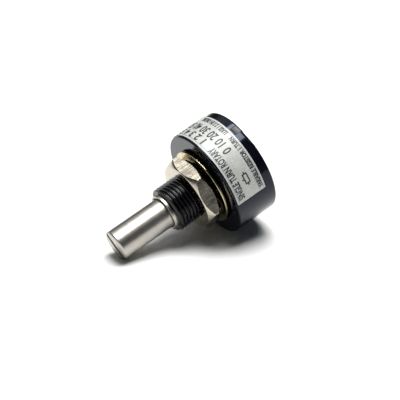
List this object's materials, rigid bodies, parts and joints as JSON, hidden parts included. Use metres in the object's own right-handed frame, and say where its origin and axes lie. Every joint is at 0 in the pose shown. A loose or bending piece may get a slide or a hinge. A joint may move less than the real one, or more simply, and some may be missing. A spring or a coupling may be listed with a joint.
{
  "type": "panel-mount rotary potentiometer",
  "caption": "Round single-turn rotary potentiometer with a threaded neck, hex nut, toothed lock washer, slotted shaft and three side solder lugs.",
  "frame": {"origin": "centre of the rear cover's flat outer face", "axes": "+Z along the shaft, from the rear cover towards the slotted tip; the solder lugs leave on the +Y side"},
  "size_m": [0.0223, 0.0268, 0.0316],
  "materials": {
    "housing": "glossy black moulding",
    "rear_cover": "satin black moulding",
    "label": "silver-white printed film",
    "bearing": "nickel-plated brass",
    "shaft": "ground stainless steel",
    "washer": "nickel-plated spring steel",
    "nut": "nickel-plated brass",
    "clip": "spring steel",
    "thrust_washer": "stainless steel",
    "hub": "brown thermoset",
    "wiper": "spring bronze",
    "rivet": "brass",
    "element": "laminate board",
    "carbon": "conductive plastic film",
    "silver": "silver ink",
    "terminal": "tinned brass"
  },
  "bodies": {
    "root": {"housing": "housing", "rear_cover": "rear_cover", "label": "label", "sleeve_bearing": "bearing", "element_disc": "element", "resistive_track": "carbon", "collector_track": "silver", "track_pad_1": "silver", "track_pad_2": "silver", "terminal_1": "terminal", "terminal_2": "terminal", "terminal_3": "terminal", "terminal_rivet_1": "rivet", "terminal_rivet_2": "rivet", "terminal_rivet_3": "rivet"},
    "rotor": {"shaft": "shaft", "retaining_ring": "clip", "thrust_washer": "thrust_washer", "rotor_hub": "hub", "wiper_contact": "wiper", "wiper_rivet": "rivet"},
    "washer": {"lock_washer": "washer"},
    "nut": {"mounting_nut": "nut"}
  },
  "joints": [
    {"name": "shaft_rotation", "type": "hinge", "parent": "root", "child": "rotor", "pos_m": [0, 0, 0.0094], "axis": [0, 0, 1], "continuous": true},
    {"name": "washer_slide", "type": "slide", "parent": "root", "child": "washer", "axis": [0, 0, 1], "range_m": [0, 0.0045]},
    {"name": "nut_turn", "type": "hinge", "parent": "washer", "child": "nut", "pos_m": [0, 0, 0.0125], "axis": [0, 0, 1], "range_deg": [0, 2041]}
  ],
  "couplings": [
    {"joint": "nut_turn", "follows": "washer_slide", "rad_per_m": 7915.8}
  ]
}
